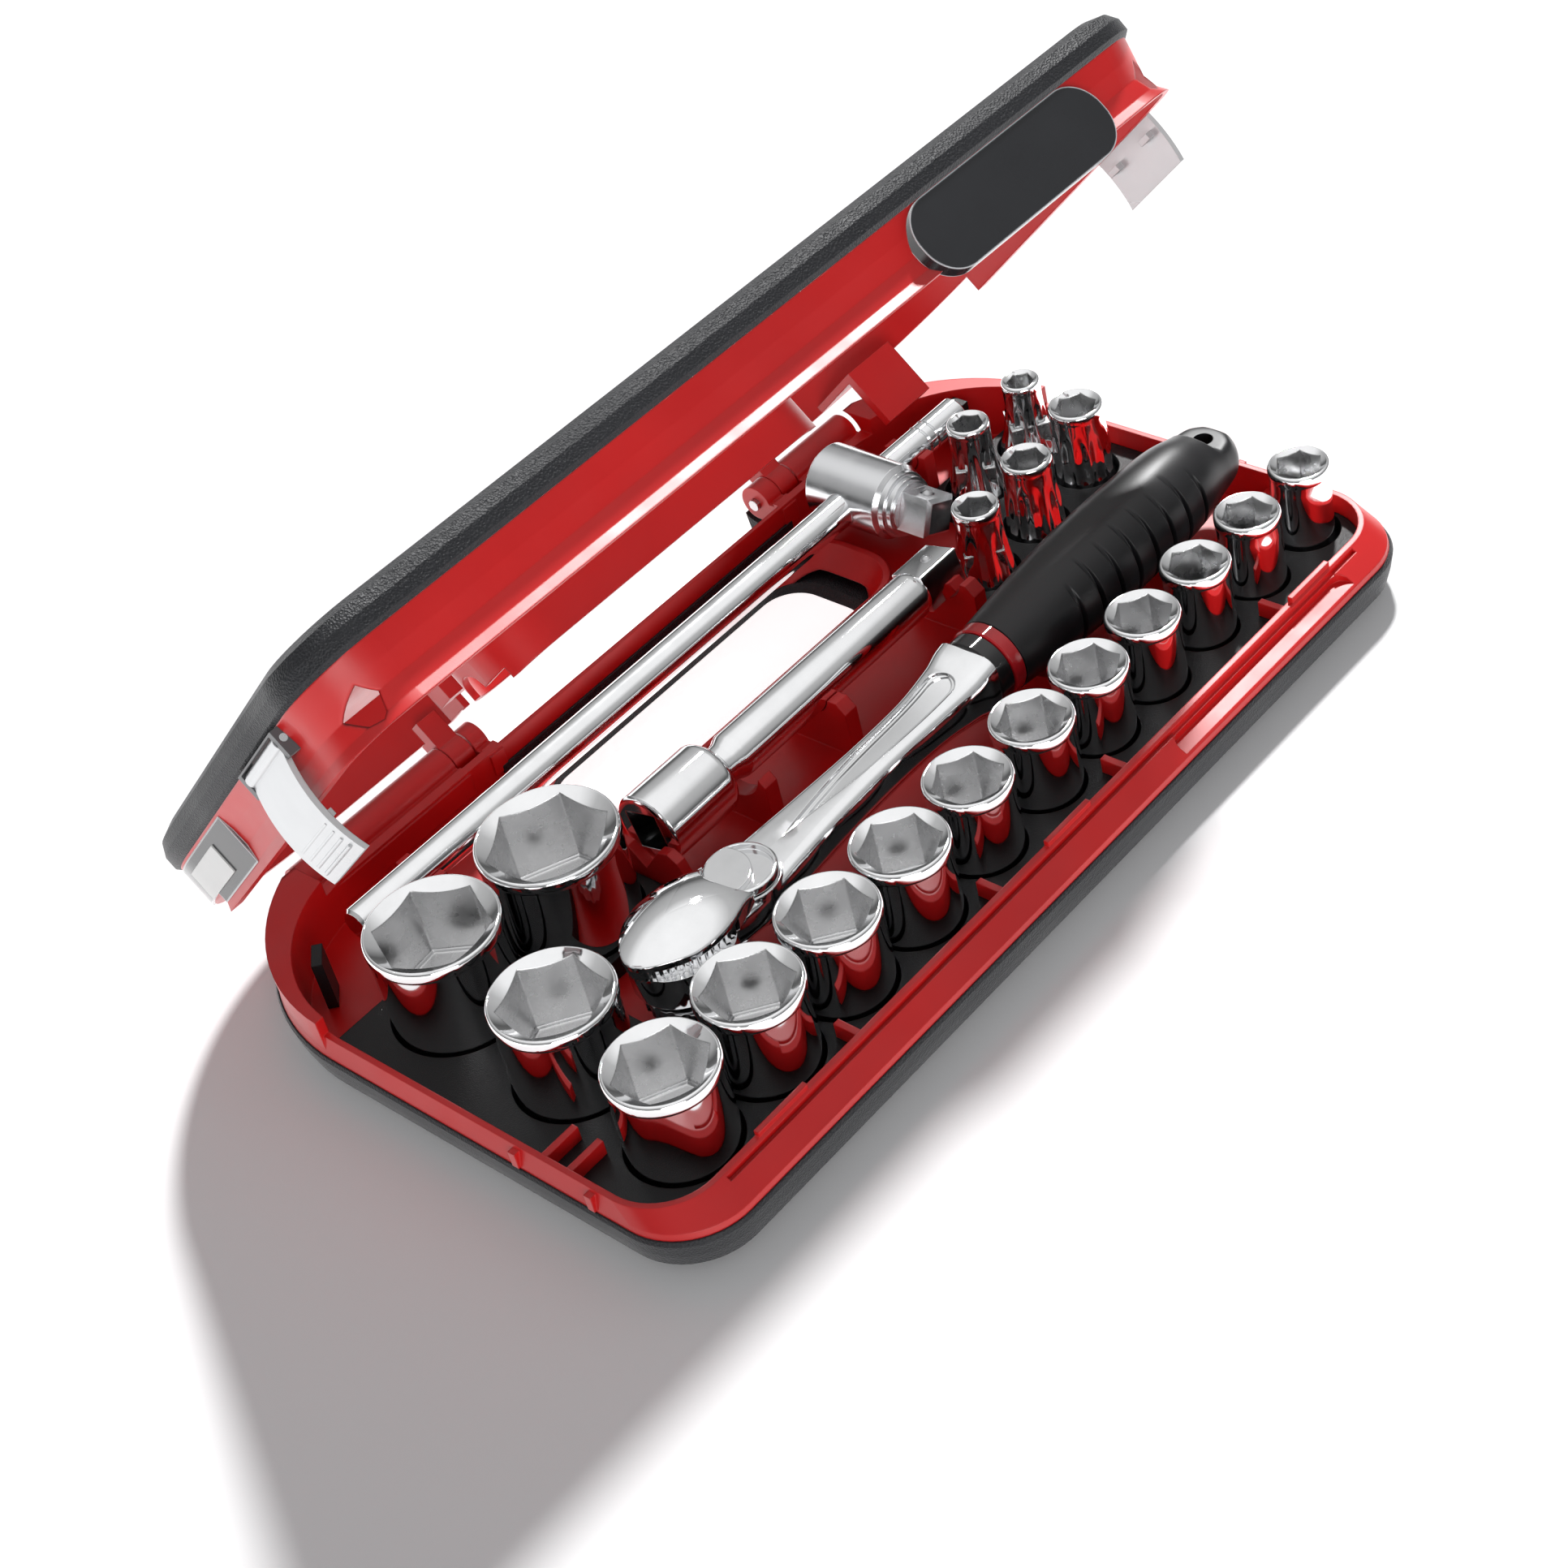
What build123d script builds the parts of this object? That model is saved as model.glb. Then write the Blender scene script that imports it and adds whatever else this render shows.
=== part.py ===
from build123d import *
import math
import os

os.makedirs("parts", exist_ok=True)

# ---------------------------------------------------------------- driving sizes (mm)
HX = 170.5          # half the case's length (X)
YF = -103.0         # front edge of the case
YB = 103.0          # back edge of the case
RF, RB = 23.0, 65.0     # corner radii, front and back
ZSHELL = 14.5       # top of the black base shell
ZRIM = 21.6         # top of the red rim of the base
ZPART = 22.0        # parting plane: the closed lid starts here
ZLIDRED = 41.5      # the lid's red wall ends here, its black cap starts
ZTOP = 52.0         # top of the closed case
INX = 166.3         # half-length of the inside
INF, INB = -91.5, 84.5  # inside, front and back
RIF, RIB = 18.0, 50.0
ZDECK = 8.0         # floor of the red tray
ZWELL = 5.0         # the sockets stand here
ZINS = 15.0         # top of the black insert
HY, HZ = 96.6, 19.0     # hinge axis
OPEN = 46.0         # opening angle of the lid at rest, degrees
NX0, NX1 = -52.0, 82.0  # back notch between the hinges
YBEAM0, YBEAM1 = 77.0, 86.0  # carrying beam
YOPN = 35.5         # near wall of the hand opening

# across flats: (x, y, height, hexagon turned by)
SOCKETS = {
    8: (153.8, 36.6, 36, 6), 9: (127.1, 37.7, 36, -3), 10: (92.4, 7.4, 36, 1),
    11: (119.7, 8.2, 36, 8), 12: (150.3, 11.4, 36, 24), 13: (154.1, -71.2, 36, -28),
    14: (126.8, -70.8, 36, 23), 15: (99.6, -70.7, 36, 26), 16: (72.5, -70.9, 36, 26),
    17: (46.0, -70.6, 36, 27), 18: (19.4, -70.2, 36, 22), 19: (-10.5, -70.6, 37, 30),
    21: (-41.6, -71.4, 38, 20), 22: (-72.1, -70.9, 38, 19), 23: (-105.0, -71.1, 39, 20),
    24: (-138.9, -70.8, 40, -28), 27: (-136.5, -28.5, 41, 22), 30: (-134.9, 20.1, 42, 7),
    32: (-92.5, 15.8, 43, -27),
}


def dia(a):
    return 1.24 * a + 3.2


def base_r(a):
    return max(dia(a) / 2, 10.9)


TBY, TBZ, TBR = 60.5, 26.0, 5.6     # T-bar axis and radius
TB0, TB1 = -135.0, 146.0
THX, THR = 97.0, 12.5               # T-head
EXY, EXZ = 8.0, 29.0                # extension axis
EX0, EX1 = -64.0, 77.0
RAX, RAY = -93.5, -37.0             # ratchet head centre
GRZ, GRR = 30.0, 15.0               # grip axis height and radius
GR0, GR1 = 42.0, 161.0


# ---------------------------------------------------------------- helpers
def box(x0, x1, y0, y1, z0, z1):
    return Pos((x0 + x1) / 2, (y0 + y1) / 2, (z0 + z1) / 2) * Box(x1 - x0, y1 - y0, z1 - z0)


def cyl(x, y, z0, z1, r):
    return Pos(x, y, (z0 + z1) / 2) * Cylinder(r, z1 - z0)


def cylx(x0, x1, y, z, r):
    return Pos((x0 + x1) / 2, y, z) * Rot(0, 90, 0) * Cylinder(r, x1 - x0)


def cyly(x, y0, y1, z, r):
    return Pos(x, (y0 + y1) / 2, z) * Rot(90, 0, 0) * Cylinder(r, y1 - y0)


def outline(hx, yf, yb, rf, rb, z):
    """A rounded rectangle with its own radius in front and at the back."""
    k = math.sqrt(0.5)
    p = [
        (-hx + rf, yf), (hx - rf, yf), (hx, yf + rf), (hx, yb - rb),
        (hx - rb, yb), (-hx + rb, yb), (-hx, yb - rb), (-hx, yf + rf),
    ]
    mids = {
        1: (hx - rf + rf * k, yf + rf - rf * k),
        3: (hx - rb + rb * k, yb - rb + rb * k),
        5: (-hx + rb - rb * k, yb - rb + rb * k),
        7: (-hx + rf - rf * k, yf + rf - rf * k),
    }
    edges = []
    for i in range(8):
        a, b = p[i], p[(i + 1) % 8]
        if i in mids:
            edges.append(ThreePointArc((*a, z), (*mids[i], z), (*b, z)))
        else:
            edges.append(Line((*a, z), (*b, z)))
    return Face(Wire(edges))


def outer(inset, z, dfront=0.0):
    return outline(HX - inset, YF + inset + dfront, YB - inset, RF - inset * 0.5, RB - inset * 0.8, z)


def stack(levels):
    """Ruled loft through (inset, z[, more inset in front]) levels."""
    body = None
    for lo, hi in zip(levels, levels[1:]):
        s = loft([outer(*lo), outer(*hi)], ruled=True)
        body = s if body is None else body + s
    return body


def prism(inset, z0, z1):
    return extrude(outer(inset, z0), z1 - z0, dir=(0, 0, 1))


def inside(grow, z0, z1):
    f = outline(INX + grow, INF - grow, INB + grow, RIF + grow, RIB + grow, z0)
    return extrude(f, z1 - z0, dir=(0, 0, 1))


def rrect(x0, x1, y0, y1, r, z):
    f = Pos((x0 + x1) / 2, (y0 + y1) / 2, z) * RectangleRounded(x1 - x0, y1 - y0, r)
    return f.face() if hasattr(f, "face") else f


def rslab(x0, x1, y0, y1, r, z0, z1):
    return extrude(rrect(x0, x1, y0, y1, r, z0), z1 - z0, dir=(0, 0, 1))


def one(s):
    """The single solid of a result, else the compound as it is."""
    so = s.solids()
    return so[0] if len(so) == 1 else s


def save(s, name):
    s = one(s)
    s.label = name
    export_step(s, f"parts/{name}.step")


def opened(s):
    """Turn a part of the closed lid about the hinge axis into its place at rest."""
    return s.rotate(Axis((0, HY, HZ), (1, 0, 0)), -OPEN)


NOTCH = box(NX0, NX1, YBEAM1, YB + 20, -5, 70)
# the hand opening: upright walls at the top, its right end sloping in towards the bottom
HOLE = loft(
    [rrect(-49, 69, YOPN + 3, YBEAM0, 12, -1), rrect(-57, 83.5, YOPN, YBEAM0, 16, 12.7)],
    ruled=True,
) + rslab(-57, 83.5, YOPN, YBEAM0, 16, 12.6, 70)


# ---------------------------------------------------------------- base shell (black)
shell = stack([(9.0, 0.0), (4.2, 1.2), (1.8, 4.0), (0.7, 8.5), (0.0, 13.2), (0.5, ZSHELL)])
shell -= prism(5.2, 2.6, 6.1)
shell -= prism(2.9, 6.0, 30)
shell += (box(NX0 - 2.4, NX1 + 2.4, YBEAM1 - 2.2, YB + 5, 2.5, ZSHELL) & prism(2.0, 2.5, ZSHELL))
shell -= NOTCH + HOLE
shell -= cylx(-150, NX0 + 1, HY, HZ, 8.6) + cylx(NX1 - 1, 150, HY, HZ, 8.6)
save(shell, "base_shell")

# ---------------------------------------------------------------- red tray
rim = loft([outer(0.9, ZSHELL), outer(1.3, ZSHELL + 2.0)], ruled=True)
top = outline(HX - 2.4, INF - 1.8, YB - 2.4, RF - 3, RB - 2, ZRIM)
rim += loft([outer(1.3, ZSHELL + 2.0), top], ruled=True)
rim += inside(1.1, 6.0, ZSHELL + 0.2)
rim -= inside(0, ZDECK, 60) + inside(0, 2, ZDECK - 2.0)
# shallow groove along the front for the lid's edge, with two stops left standing
rim -= box(-146, 146, -95.4, -94.0, ZRIM - 2.2, 40)
# raised stops on the inner lip
for x0 in (-131.7, -6.8, 115.0):
    rim += box(x0, x0 + 19.8, -93.2, INF, ZRIM - 1, ZRIM + 1.9)
# recess in the front flange for the lid's label plate
rim -= rslab(48, 136, -108, -95.0, 4, 17.0, 40)
# hollowed thumb rest along both short sides
for s in (-1, 1):
    rim -= Pos(s * (HX + 3.2), -10, 21.5) * Rot(90, 0, 0) * Cylinder(5.4, 62)
    rim += box(min(s * 166.4, s * 170.6), max(s * 166.4, s * 170.6), -67.5, -65, 15, 20.5) & prism(0.2, 0, 60)
    rim += box(min(s * 166.4, s * 170.6), max(s * 166.4, s * 170.6), -39, -36.5, 15, 20.5) & prism(0.2, 0, 60)
# lip wall around the hand opening
lip = loft(
    [rrect(-51.2, 71.2, YOPN + 0.8, YBEAM0 + 2.2, 13, 2.7), rrect(-59.2, 85.7, YOPN - 2.2, YBEAM0 + 2.2, 18, 12.5)],
    ruled=True,
)
rim += lip
rim += box(-59.2, 85.7, YBEAM0 - 1, YBEAM1 - 2.3, 2.7, 11.0)
# back corners stand higher
ear = prism(1.4, ZRIM - 8, 27.5) - inside(0, 0, 60) - box(-200, 200, -200, 40, 0, 60)
rim += ear - box(-128, 128, 70, 120, ZRIM, 60)
rim -= NOTCH + HOLE
# room for the lid's hinge, then the barrels
rim -= cylx(-150, NX0 + 1, HY, HZ, 8.6) + cylx(NX1 - 1, 150, HY, HZ, 8.6)
rim -= box(-150, NX0 + 1, HY, 130, HZ - 2, 60) + box(NX1 - 1, 150, HY, 130, HZ - 2, 60)
for x0, x1 in ((-128.0, -66.4), (-57.6, NX0), (NX1, 88.6), (97.4, 128.0)):
    rim += cylx(x0, x1, HY, HZ, 6.2) + box(x0, x1, 84.0, HY, HZ - 6.2, HZ + 1.5)
for x0, x1 in ((-76, NX0 + 1), (NX1 - 1, 107)):
    rim -= cylx(x0, x1, HY, HZ, 2.06)
for x0, x1 in ((-66.4, -57.6), (88.6, 97.4)):
    rim -= box(x0, x1, 87.6, 130, 9.0, 60)

# black insert zones, left open in the red floor
zone = (
    box(-170, 170, -95, -51.6, 0, 60) + box(-170, -113, -60, 42, 0, 60)
    + box(-114, -69, -7.5, 39.6, 0, 60) + box(79.5, 170, -5, 21, 0, 60) + box(114, 170, 20, 50, 0, 60)
)
rim -= zone & inside(0.0, 5.0, ZDECK + 0.1)

# divider beside the socket row, fins, ribs, posts and cradles
parts = [box(-66, 165.8, -51.3, -49.5, ZDECK - 1, 16.4)]
for x in (-88.5, -26.0, 32.7, 113.2):
    parts.append(box(x - 1.1, x + 1.1, INF - 0.5, -82.5, 13.0, 20.2) - box(x - 2, x + 2, -87, -82, 13, ZINS))
for y in (-55.0, -45.5):
    parts.append(box(-166.8, -153.5, y - 1.1, y + 1.1, 14.0, 19.8) - box(-165, -150, y - 3, y + 3, 13, ZINS))
cr = []
for x in (-27.0, 10.0, 73.0):
    p = box(x - 2.6, x + 2.6, EXY - 14.5, EXY + 14.5, ZDECK - 1, 27.5)
    p = chamfer(p.edges().filter_by(Axis.X).group_by(Axis.Z)[-1], 3.2)
    cr.append(p)
cradle = cr[0] + cr[1] + cr[2]
cradle -= cylx(EX0 - 1, -13.0, EXY, EXZ, 12.3) + cylx(-14, 56, EXY, EXZ, 8.1) + cylx(56, EX1 + 1, EXY, EXZ, 9.3)
cradle -= box(EX0 - 1, -13.0, EXY - 12.3, EXY + 12.3, EXZ, 60) + box(-14, 56, EXY - 8.1, EXY + 8.1, EXZ, 60)
cradle -= box(56, EX1 + 1, EXY - 9.3, EXY + 9.3, EXZ, 60)
parts.append(cradle)
# end plate in front of the extension's socket, with a hump and a V notch
pts = [(-9, 7), (-9, 20), (-6.5, 26), (-3, 28), (1, 27), (8, 18), (14, 24), (19, 24), (22, 19), (22, 7)]
plate = extrude(Plane.YZ * make_face(Polyline([(a, b) for a, b in pts] + [pts[0]])), 3.4)
parts.append(Pos(EX0 - 4.2, 0, 0) * plate)
# rests under the grip and the bar
for x in (60.0, 128.0):
    parts.append(box(x - 2.2, x + 2.2, -49.8, RAY + 13.5, ZDECK - 1, 22.0) - cylx(x - 4, x + 4, RAY, GRZ, GRR + 0.3))
for x in (-108.0, 121.0):
    parts.append(box(x - 2.5, x + 2.5, TBY - 8.5, TBY + 8.5, ZDECK - 1, 27.0) - cylx(x - 4, x + 4, TBY, TBZ, TBR + 0.25)
                 - box(x - 4, x + 4, TBY - TBR - 0.25, TBY + TBR + 0.25, TBZ, 60))
for p in parts:
    rim += p
rim -= (zone & inside(-0.3, 6.2, ZINS)) - box(-66.5, 170, -51.6, -49, 0, 60)
rim -= cyl(RAX, RAY, 3, 12, 9.8)
rim -= shell
save(rim, "base_tray")

# ---------------------------------------------------------------- black insert with a well for each socket
ins = (zone & inside(-0.3, 6.2, ZINS)) + (zone & prism(5.6, 2.6, 6.3) & inside(-0.3, 0, 20))
ins -= box(-66.5, 170, -51.6, -49, 0, 60)
for a, (x, y, h, turn) in SOCKETS.items():
    ins -= cyl(x, y, ZWELL, 40, base_r(a) + 0.35)
both = sorted(ins.solids(), key=lambda q: -q.volume)
save(both[0], "socket_insert")
save(both[1], "small_socket_insert")

for n, x0, x1 in (("hinge_pin_left", -75.0, -50.5), ("hinge_pin_right", 80.5, 106.0)):
    save(cylx(x0, x1, HY, HZ, 2.0), n)
save(Pos(-149.0, 62.5, 17.0) * Rot(0, 0, 48) * Box(9, 3.2, 17.4), "corner_pad_left")
save(box(147.0, 153.0, 61.0, 67.0, ZDECK, 25.5), "corner_pad_right")

# ---------------------------------------------------------------- lid, built closed and turned open
DF = 4.7            # the lid's front edge sits back from the case's front edge
red = stack([(0.8, ZPART, DF), (2.0, 25.0, DF + 0.6), (2.8, 30.0, DF + 0.4), (2.6, 35.5, DF - 1.4), (1.8, ZLIDRED, 2.4)])
red -= prism(5.2, 20, 60) & box(-200, 200, -93.8, 200, 0, 80)
red += (prism(3.7, ZLIDRED - 0.1, 50.0) - prism(5.2, 30, 48.6)) & box(-200, 200, YF + 5.4, 200, 0, 80)
red += box(-150, 150, -97.5, -93.8, ZLIDRED - 2, ZLIDRED) & prism(5, 0, 60)
# wall around the hand opening, and the lid's half of the carrying beam
red += rslab(-59.2, 85.7, YOPN - 2.2, YBEAM0 + 2.2, 18, ZPART + 4, 50.0)
red += box(-59.2, 85.7, YOPN - 2.2, YOPN + 6, ZPART, ZPART + 4.1) & rslab(-59.2, 85.7, YOPN - 2.2, YBEAM0 + 2.2, 18, ZPART, ZPART + 4.1)
red += box(-59.2, 85.7, YBEAM0, YBEAM1, 32.0, 50.0)
red += box(NX0 - 2.2, NX0, YBEAM1 - 2, 98.5, 27.5, 50.0) + box(NX1, NX1 + 2.2, YBEAM1 - 2, 98.5, 27.5, 50.0)
OPN = rslab(-57, 83.5, YOPN, YBEAM0, 16, 0, 70)
red -= OPN + NOTCH
# room for the base's corners and for the hinge barrels
red -= box(-200, 200, 39.0, 130, 0, 28.0) - box(-125, 125, 0, 88, 0, 28.0)
red -= box(-200, 200, 86.2, 130, 0, 28.0)
# ribs inside the left end, square block inside the right half
for x in (-149, -139, -129, -119):
    red += box(x - 1, x + 1, 44, 84, 32.8, 49.0) & prism(4.6, 0, 60)
red += box(124.5, 145.5, 68.0, 71.5, 9.5, 30.5)
red += box(124.5, 145.5, 68.0, 95.0, 28.0, 30.5) & prism(4.6, 0, 60)
# the T-handle lies across the hand opening, so the lid's walls are notched round it
red -= cylx(-70, 96, TBY, TBZ, TBR + 1.2) + box(-70, 96, TBY - TBR - 1.2, TBY + TBR + 1.2, ZPART - 1, TBZ)
red -= cyly(THX, 26, 78, TBZ, THR + 1.2)
# hinge ears
for x in (-62.0, 93.0):
    red += cylx(x - 3.9, x + 3.9, HY, HZ, 6.0) + box(x - 3.9, x + 3.9, 92.8, 101.0, HZ, 34.0)
for x0, x1 in ((-80, NX0 + 1), (NX1 - 1, 110)):
    red -= cylx(x0, x1, HY, HZ, 2.06)
red -= NOTCH
# seats for the label plate and the latches
lab = Pos(91.0, -95.4, 29.4) * Rot(90, 0, 0) * extrude(RectangleRounded(82.0, 23.6, 11.0), 4.6)
red -= lab
for s_ in (-1, 1):
    red -= box(min(s_ * 166.6, s_ * 180), max(s_ * 166.6, s_ * 180), -69.8, -34.2, 33.5, 41.4)
save(opened(one(red)), "lid_liner")

cap = stack([(1.7, ZLIDRED, 2.0), (0.7, ZLIDRED + 1.2, 1.2), (0.7, 46.5, 1.0), (2.4, 50.0, 1.0), (6.5, ZTOP, 1.0)])
cap -= prism(3.7, 30, 50.0) & box(-200, 200, YF + 5.4, 200, 0, 50.0)
cap -= OPN + NOTCH
save(opened(one(cap)), "lid_shell")

save(opened(one(lab)), "lid_label_plate")

pad = (prism(1.7, 24.6, 40.6) & box(-200, -60, 0.5, 62, 0, 60)) - prism(3.1, 0, 70)
pad -= red + box(-200, 0, 39.0, 70, 0, 28.2)
save(opened(one(pad)), "side_label_pad")
card = (prism(1.2, 28.0, 37.4) & box(-200, -60, 17.5, 45, 0, 60)) - prism(1.7, 0, 70)
save(opened(one(card)), "side_label_card")

# latches: a curved plate on a pin between two lugs, one at each short side of the lid
LY0, LY1 = -67.0, -37.0
LPX, LPZ = 168.9, 38.2
for side, name in ((-1, "left"), (1, "right")):
    arc_o = ThreePointArc((LPX + 1.0, LPZ), (LPX + 4.9, 22.0), (LPX + 3.0, 5.0))
    arc_i = ThreePointArc((LPX + 1.4, 5.0), (LPX + 3.3, 22.0), (LPX - 0.6, LPZ))
    sk = Plane.XZ * make_face(Wire([arc_o, Line(arc_o @ 1, arc_i @ 0), arc_i, Line(arc_i @ 1, arc_o @ 0)]))
    pl = Pos(0, LY1, 0) * extrude(sk, LY1 - LY0)
    pl += cyly(LPX + 0.2, LY0, LY1, LPZ, 2.3)
    pl -= cyly(LPX + 0.2, LY0 - 1, LY1 + 1, LPZ, 1.26)
    for k in range(4):
        pl += cyly(LPX + 4.55 - 0.22 * k, LY0 + 3, LY1 - 3, 16.0 - 2.6 * k, 0.55)
    pl += box(LPX + 1.0, LPX + 3.4, LY0 + 3, LY0 + 8, 16.4, 18.4) + box(LPX + 1.0, LPX + 3.4, LY1 - 8, LY1 - 3, 16.4, 18.4)
    pin = cyly(LPX + 0.2, LY0 - 2.4, LY1 + 2.4, LPZ, 1.2)
    lug = None
    for y0, y1 in ((LY0 - 2.6, LY0 - 0.15), (LY1 + 0.15, LY1 + 2.6)):
        q = box(LPX - 2.3, LPX + 2.2, y0, y1, 33.6, 41.3)
        lug = q if lug is None else lug + q
    lug += box(LPX - 2.3, LPX + 2.2, LY0 - 2.6, LY1 + 2.6, 40.75, 41.3)
    lug -= cyly(LPX + 0.2, LY0 - 5, LY1 + 5, LPZ, 1.2)
    for sh, nn in ((pl, f"latch_{name}"), (pin, f"latch_pin_{name}"), (lug, f"latch_lugs_{name}")):
        if side < 0:
            sh = mirror(sh, about=Plane.YZ)
        save(opened(sh), nn)

# ---------------------------------------------------------------- sockets
def socket(a, h, turn, facets=0):
    r, rb = dia(a) / 2, base_r(a)
    c = 0.7
    if rb - r > 1.3:      # small sizes: slim at the mouth, wide at the drive end
        prof = [(0, 0), (rb - 0.6, 0), (rb, 0.6), (rb, 7.0), (rb - (rb - r) * 0.62, 16.0), (r + 0.25, 25.0), (r, h - c), (r - c, h), (0, h)]
    elif rb > r:
        prof = [(0, 0), (rb - 0.6, 0), (rb, 0.6), (rb, 11.0), (r, 17.0), (r, h - c), (r - c, h), (0, h)]
    else:
        prof = [(0, 0), (r - 1.6, 0), (r - 0.9, 0.7), (r - 0.9, 3.5), (r, 4.6), (r, h - 3.4), (r - 0.22, h - 3.2), (r - 0.22, h - 2.9),
                (r, h - 2.7), (r, h - 0.8), (r - 0.35, h - 0.2), (r - 1.0, h), (0, h)]
    body = revolve(Plane.XZ * make_face(Polyline(prof + [prof[0]])), Axis.Z)
    if facets:
        lean = math.degrees(math.atan2(rb - r, 22.0))
        for i in range(12):
            t = i * 30.0
            k = Pos(0, 0, 17.5) * Rot(0, 0, t) * Pos(r + (rb - r) * 0.42 + facets, 0, 0) * Rot(0, -lean, 0) * Cylinder(2.2, 21)
            body -= k
    zf = 17.0 if a >= 16 else h - 15.0
    hexr = (a + 0.15) / 2 / math.cos(math.pi / 6)
    hx = Pos(0, 0, zf) * extrude(Rot(0, 0, turn) * RegularPolygon(hexr, 6), h - zf + 1)
    body -= hx
    cone = Pos(0, 0, h) * Rot(180, 0, 0) * Pos(0, 0, 0.65) * Cone(hexr + 0.35, hexr - 0.95, 1.3)
    body -= cone
    if a >= 16:
        body -= Pos(0, 0, 7.0) * Box(12.9, 12.9, 15.0) + cyl(0, 0, 0, zf + 1, 6.8 if a == 30 else 2.6)
    else:
        body -= Pos(0, 0, zf / 2) * Box(12.9, 12.9, zf + 0.02)
    return body


for a, (x, y, h, turn) in SOCKETS.items():
    f = {8: 1.75, 9: 1.8, 10: 1.95, 11: 1.95, 12: 2.0}.get(a, 0)
    sk = Pos(x, y, ZWELL) * socket(a, h, turn, f)
    save(sk, f"socket_{a:02d}")

# ---------------------------------------------------------------- T-handle
bar = cylx(TB0, TB1, TBY, TBZ, TBR)
bar = chamfer(bar.edges().filter_by(GeomType.CIRCLE), 1.0)
bar -= cylx(TB1 - 16, TB1 - 15, TBY, TBZ, 8) - cylx(TB1 - 17, TB1 - 14, TBY, TBZ, TBR - 0.7)
bar -= cylx(TB1 - 20, TB1 - 19, TBY, TBZ, 8) - cylx(TB1 - 21, TB1 - 18, TBY, TBZ, TBR - 0.7)
save(bar, "t_bar")
hd = cyly(THX, 45.0, 76.0, TBZ, THR)
hd = chamfer(hd.edges().filter_by(GeomType.CIRCLE), 1.4)
hd += cyly(THX, 43.0, 45.2, TBZ, 11.0) + cyly(THX, 40.6, 43.2, TBZ, 10.0) + cyly(THX, 39.6, 41.0, TBZ, 8.8)
sq = Pos(THX, 34.0, TBZ) * Rot(0, 24, 0) * Box(12.7, 12.4, 12.7)
sq = chamfer(sq.edges().group_by(Axis.Y)[0], 1.2)
hd += sq
hd -= cylx(THX - 20, THX + 20, TBY, TBZ, TBR + 0.05)
hd -= Pos(THX, 34.2, TBZ) * Rot(0, 24, 0) * Pos(0, 0, 6.4) * Cylinder(2.4, 3.4)
save(hd, "t_head")
BALL = Pos(0, 0, 5.5) * Sphere(2.0) & Pos(0, 0, 6.7) * Box(6, 6, 4.0)
save(Pos(THX, 34.2, TBZ) * Rot(0, 24, 0) * BALL, "t_head_ball")

# ---------------------------------------------------------------- extension
pr = [(EX0, 0), (EX0, 11.0), (EX0 + 1.0, 12.0), (EX0 + 34.0, 12.0), (EX0 + 37.0, 10.2), (EX0 + 38.4, 6.4), (EX0 + 44.0, 6.4),
      (EX0 + 46.0, 7.8), (56.0, 7.8), (59.5, 7.2), (59.5, 0)]
ext = revolve(Plane.XY * make_face(Polyline(pr + [pr[0]])), Axis.X)
ext = Pos(0, EXY, EXZ) * ext
sq = Pos((59.0 + EX1) / 2, EXY, EXZ) * Rot(-14, 0, 0) * Box(EX1 - 59.0, 12.7, 12.7)
sq = chamfer(sq.edges().group_by(Axis.X)[-1], 1.3)
ext += sq
ext -= Pos(EX0 + 8.0, EXY, EXZ) * Rot(-14, 0, 0) * Box(16.1, 12.95, 12.95)
ext -= Pos(EX1 - 8.2, EXY, EXZ) * Rot(-14, 0, 0) * Pos(0, 0, 6.4) * Cylinder(2.4, 3.4)
save(ext, "extension_bar")
save(Pos(EX1 - 8.2, EXY, EXZ) * Rot(-14, 0, 0) * BALL, "extension_ball")

# ---------------------------------------------------------------- ratchet
HR = 18.7
head = cyl(RAX, RAY, 22.0, 36.0, HR)
# arm: tapered neck from the head to the collar
sec = [(-86.0, 15.0, 7.0, 29.0), (-62.0, 12.5, 8.0, 29.0), (-44.0, 10.8, 8.5, 29.5), (-20.0, 8.6, 7.6, 30.0), (12.0, 8.0, 7.4, 30.0), (36.0, 11.5, 9.4, 30.0)]
prev = None
arm = None
for (xa, wa, ha, za), (xb, wb, hb, zb) in zip(sec, sec[1:]):
    fa = Plane((xa, RAY, za), x_dir=(0, 1, 0), z_dir=(1, 0, 0)) * RectangleRounded(2 * wa, 2 * ha, min(wa, ha) * 0.62)
    fb = Plane((xb, RAY, zb), x_dir=(0, 1, 0), z_dir=(1, 0, 0)) * RectangleRounded(2 * wb, 2 * hb, min(wb, hb) * 0.62)
    g = loft([fa, fb], ruled=True)
    arm = g if arm is None else arm + g
arm += cylx(35.8, 38.2, RAY, GRZ, 12.4) + cylx(38.0, 39.9, RAY, GRZ, 8.0)
rat = head + arm
# domed cover of the head, drawn out towards the neck
dome = Pos(RAX, RAY, 15.0) * (Sphere(30.0) & Pos(0, 0, 25.5) * Box(80, 80, 9.0)) & cyl(RAX, RAY, 30, 60, HR - 0.6)
rat += dome
# long shallow recess along the top of the arm
rat -= Pos(-14.0, RAY, 38.9) * extrude(SlotOverall(62.0, 8.4), 4)
# seat for the reversing lever
LVX = -60.0
rat -= cyl(LVX, RAY, 35.2, 60, 9.3)
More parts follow.
